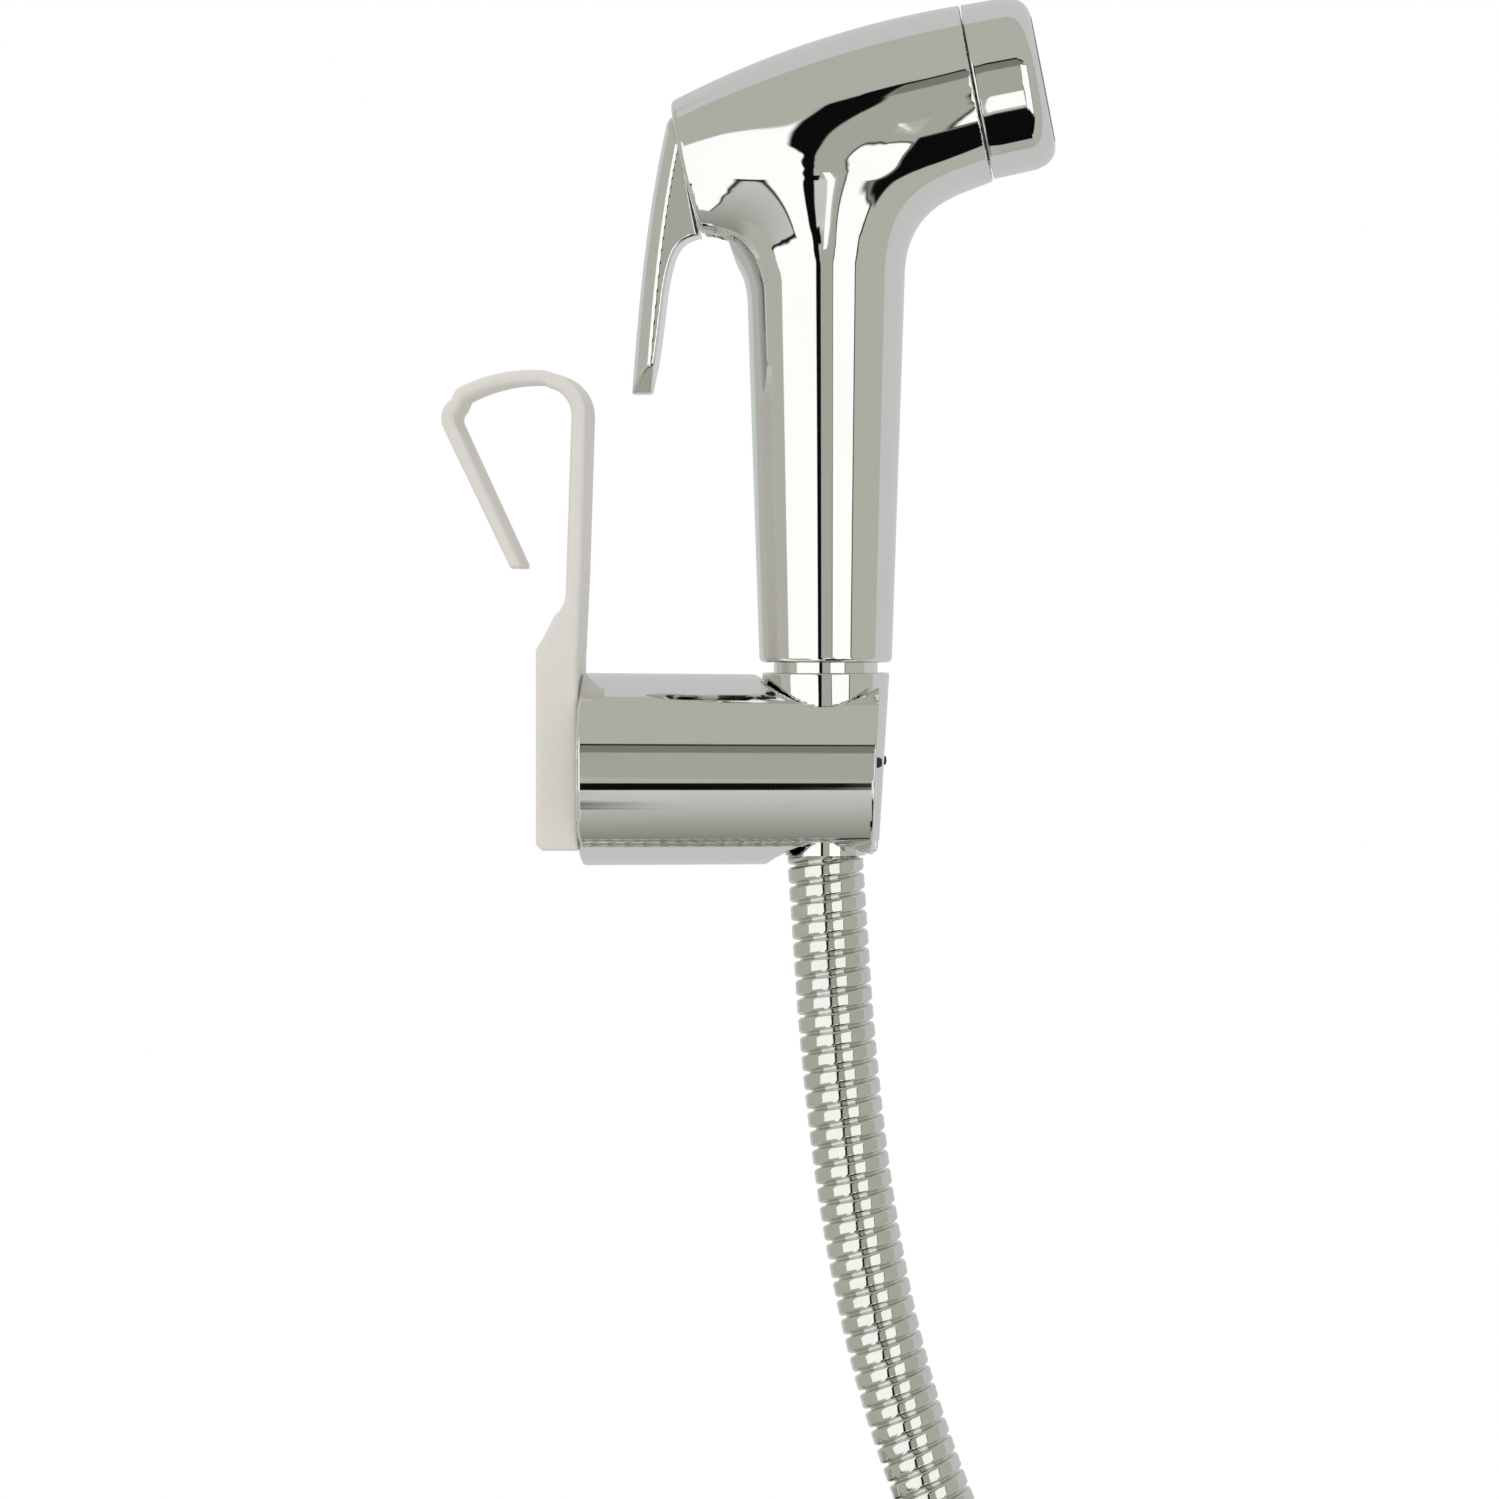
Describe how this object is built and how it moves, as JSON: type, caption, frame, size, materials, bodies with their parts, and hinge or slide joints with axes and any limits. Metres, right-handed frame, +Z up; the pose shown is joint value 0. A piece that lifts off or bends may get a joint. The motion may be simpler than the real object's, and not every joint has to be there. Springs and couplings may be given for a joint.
{
  "type": "handheld bath sprayer",
  "caption": "Chromed trigger spray handset standing in a split holder on a hook that clips over a tank wall, with a spiral metal hose wound into a tied coil.",
  "frame": {"origin": "on the flat back face of the hook's pad, level with the horizontal holder's axis, on the mirror plane", "axes": "+X out from the tank wall along the holder, +Z up along the handle, +Y across the hook to the far side; the nozzle points to +X"},
  "size_m": [0.1679, 0.06, 0.4525],
  "materials": {
    "hook_plastic": "satin warm white moulded plastic",
    "holder_chrome": "bright chrome on moulded ABS",
    "shell_chrome": "bright chrome on moulded ABS",
    "lever_chrome": "bright chrome on moulded ABS",
    "nut_chrome": "bright chrome on brass",
    "connector_chrome": "bright chrome on brass",
    "hose_metal": "polished spiral stainless steel",
    "screw_steel": "plain steel",
    "brass_parts": "machined brass",
    "black_rubber": "matte moulded rubber",
    "tie_fabric": "woven hook-and-loop strap",
    "white_acetal": "satin moulded acetal",
    "spray_face": "satin grey moulded plastic"
  },
  "bodies": {
    "bracket": {"tank_hook": "hook_plastic", "holder": "holder_chrome", "hook_screws": "screw_steel", "jaw_bumpers": "black_rubber"},
    "hose": {"hose_ferrule": "brass_parts", "hose": "hose_metal", "hose_coil": "hose_metal", "hose_tail": "hose_metal", "coil_ties": "tie_fabric", "end_ferrule": "brass_parts"},
    "far_nut": {"end_nut": "nut_chrome", "end_washer": "black_rubber"},
    "handset": {"body_shell": "shell_chrome", "inlet_connector": "connector_chrome", "connector_oring": "black_rubber", "cone_nut": "nut_chrome", "inlet_washer": "black_rubber", "supply_tube": "white_acetal", "valve_body": "white_acetal", "gland_nut": "brass_parts", "gland_oring": "black_rubber", "spring_retainer": "white_acetal", "pivot_pin": "screw_steel", "nozzle_base": "white_acetal", "nozzle_oring": "black_rubber", "flow_disc": "white_acetal", "spray_plate": "spray_face", "nozzle_cap": "shell_chrome", "valve_spring": "screw_steel"},
    "lever": {"trigger_lever": "lever_chrome"},
    "plunger": {"plunger_rod": "brass_parts", "valve_disc": "black_rubber"}
  },
  "joints": [
    {"name": "lift_out", "type": "slide", "parent": "bracket", "child": "hose", "axis": [0, 0, 1], "range_m": [0, 0.045]},
    {"name": "handset_swivel", "type": "hinge", "parent": "hose", "child": "handset", "pos_m": [0.0535, 0, 0], "axis": [0, 0, 1], "continuous": true},
    {"name": "trigger_squeeze", "type": "hinge", "parent": "handset", "child": "lever", "pos_m": [0.02893, 0, 0.11799], "axis": [0, -1, 0], "range_deg": [0, 12], "stiffness_Nm_per_rad": 1.2, "springref_deg": -14.32},
    {"name": "plunger_slide", "type": "slide", "parent": "handset", "child": "plunger", "axis": [0.9613, 0, 0.2756], "range_m": [0, 0.0015], "deforming": ["valve_spring"]},
    {"name": "far_nut_spin", "type": "hinge", "parent": "hose", "child": "far_nut", "pos_m": [0.103, 0.03, -0.3], "axis": [0, 0, 1], "continuous": true}
  ],
  "couplings": [
    {"joint": "plunger_slide", "follows": "trigger_squeeze", "m_per_rad": 0.0066}
  ]
}
